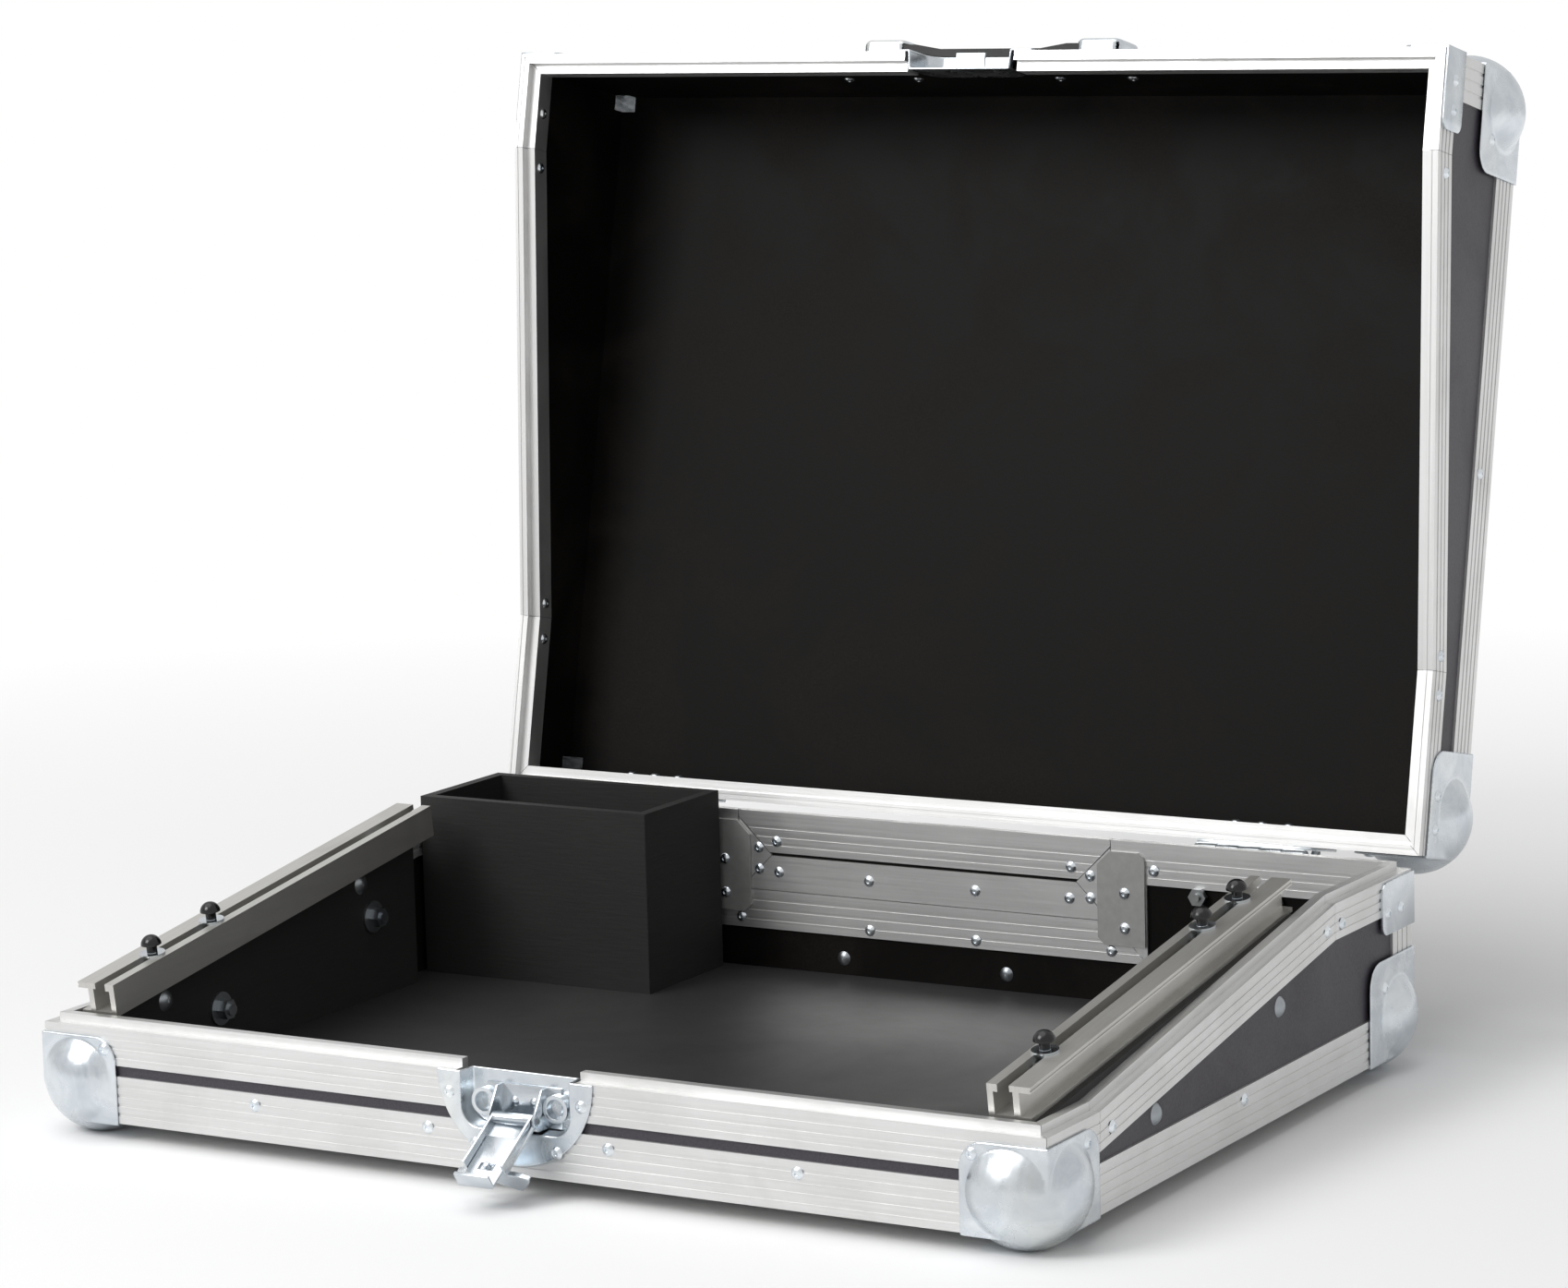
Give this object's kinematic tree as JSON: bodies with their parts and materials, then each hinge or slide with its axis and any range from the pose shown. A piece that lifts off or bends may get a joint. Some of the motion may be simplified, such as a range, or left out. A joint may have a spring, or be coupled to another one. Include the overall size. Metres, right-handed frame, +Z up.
{
  "type": "flight case",
  "caption": "Wedge-shaped flight case for a table-top mixer, lid open, with ball corners, butterfly latch, rack rails, cable flap and accessory box.",
  "frame": {"origin": "on the plane that the case stands on, under the middle of the base's four ball corners", "axes": "+X to the case's right, along the hinge line; +Y from the latch side to the hinge side; +Z up, with the lid open at rest"},
  "size_m": [0.533, 0.5632, 0.48],
  "materials": {
    "laminate": "satin",
    "floor_board": "satin",
    "extrusion": "satin",
    "zinc_steel": "semi-bright",
    "dark_zinc": "satin",
    "rail_steel": "satin",
    "rivet": "bright",
    "black_wood": "matt",
    "black_screw": "semi-gloss",
    "black_strap": "matt",
    "chrome": "polished",
    "plate_grey": "matt"
  },
  "bodies": {
    "base": {"base_floor": "floor_board", "base_left_panel": "laminate", "base_right_panel": "laminate", "base_front_panel": "laminate", "base_back_panel": "laminate", "base_rim_front": "extrusion", "base_rim_sides": "extrusion", "base_rim_back": "extrusion", "base_edges_across": "extrusion", "base_edges_along": "extrusion", "base_posts": "extrusion", "cutout_sill": "extrusion", "cutout_jambs": "extrusion", "cutout_straps": "plate_grey", "base_ball_corners": "zinc_steel", "base_braces": "zinc_steel", "base_rivets": "rivet", "base_latch_dish": "zinc_steel", "latch_bracket": "zinc_steel", "latch_pin": "chrome", "rack_rails": "rail_steel", "rail_bearers": "black_wood", "side_bolts": "dark_zinc", "bearer_screws": "dark_zinc", "wall_screws": "dark_zinc", "base_hinge_leaves": "zinc_steel", "hinge_pins": "dark_zinc", "hinge_nuts": "dark_zinc", "accessory_box": "black_wood"},
    "lid": {"lid_top_panel": "laminate", "lid_left_panel": "laminate", "lid_right_panel": "laminate", "lid_front_panel": "laminate", "lid_back_panel": "laminate", "lid_rim_front": "extrusion", "lid_rim_sides": "extrusion", "lid_rim_back": "extrusion", "lid_edges_across": "extrusion", "lid_edges_along": "extrusion", "lid_posts": "extrusion", "lid_ball_corners": "zinc_steel", "lid_braces": "zinc_steel", "lid_latch_dish": "zinc_steel", "latch_keeper": "zinc_steel", "lid_hinge_leaves": "zinc_steel", "handle_caps": "zinc_steel", "lid_rivets": "rivet"},
    "flap": {"flap_panel": "laminate", "flap_edging": "extrusion", "flap_rivets": "rivet"},
    "latch_arm": {"latch_arm": "zinc_steel"},
    "latch_wing": {"latch_wing": "zinc_steel"},
    "latch_hook": {"latch_hook": "zinc_steel"},
    "strap": {"handle_strap": "black_strap"},
    "rack_screw_1": {"rack_screw_1": "black_screw"},
    "rack_screw_2": {"rack_screw_2": "black_screw"},
    "rack_screw_3": {"rack_screw_3": "black_screw"},
    "rack_screw_4": {"rack_screw_4": "black_screw"},
    "rack_screw_5": {"rack_screw_5": "black_screw"},
    "rack_nut_loose": {"rack_nut_loose": "chrome"}
  },
  "joints": [
    {"name": "lid_hinge", "type": "hinge", "parent": "base", "child": "lid", "pos_m": [0, 0.19535, 0.0917], "axis": [1, 0, 0], "range_deg": [0, 102]},
    {"name": "flap_lift", "type": "slide", "parent": "base", "child": "flap", "axis": [0, 0, -1], "range_m": [-0.036, 0]},
    {"name": "latch_swing", "type": "hinge", "parent": "base", "child": "latch_arm", "pos_m": [0, -0.191, 0.0341], "axis": [-1, 0, 0], "range_deg": [0, 123]},
    {"name": "wing_turn", "type": "hinge", "parent": "latch_arm", "child": "latch_wing", "pos_m": [0, -0.21197, 0.02048], "axis": [0, 0.5446, -0.8387], "range_deg": [0, 180]},
    {"name": "hook_draw", "type": "slide", "parent": "latch_arm", "child": "latch_hook", "axis": [0, 0.8387, 0.5446], "range_m": [0, 0.004]},
    {"name": "strap_play", "type": "slide", "parent": "lid", "child": "strap", "axis": [1, 0, 0], "range_m": [-0.004, 0.004]},
    {"name": "rack_screw_1_slide", "type": "slide", "parent": "base", "child": "rack_screw_1", "axis": [0, 0.9895, 0.1444], "range_m": [-0.0289, 0.07216]},
    {"name": "rack_screw_2_slide", "type": "slide", "parent": "base", "child": "rack_screw_2", "axis": [0, 0.9895, 0.1444], "range_m": [-0.06852, 0.01233]},
    {"name": "rack_screw_3_slide", "type": "slide", "parent": "base", "child": "rack_screw_3", "axis": [0, 0.9895, 0.1444], "range_m": [-0.01283, 0.02355]},
    {"name": "rack_screw_4_slide", "type": "slide", "parent": "base", "child": "rack_screw_4", "axis": [0, 0.9895, 0.1444], "range_m": [-0.03032, 0.01617]},
    {"name": "rack_screw_5_slide", "type": "slide", "parent": "base", "child": "rack_screw_5", "axis": [0, 0.9895, 0.1444], "range_m": [-0.01607, 0.12743]},
    {"name": "rack_nut_loose_slide", "type": "slide", "parent": "base", "child": "rack_nut_loose", "axis": [0, 0.9895, 0.1444], "range_m": [-0.00253, 0.02577]}
  ],
  "couplings": [
    {"joint": "wing_turn", "follows": "hook_draw", "rad_per_m": 785.4}
  ]
}
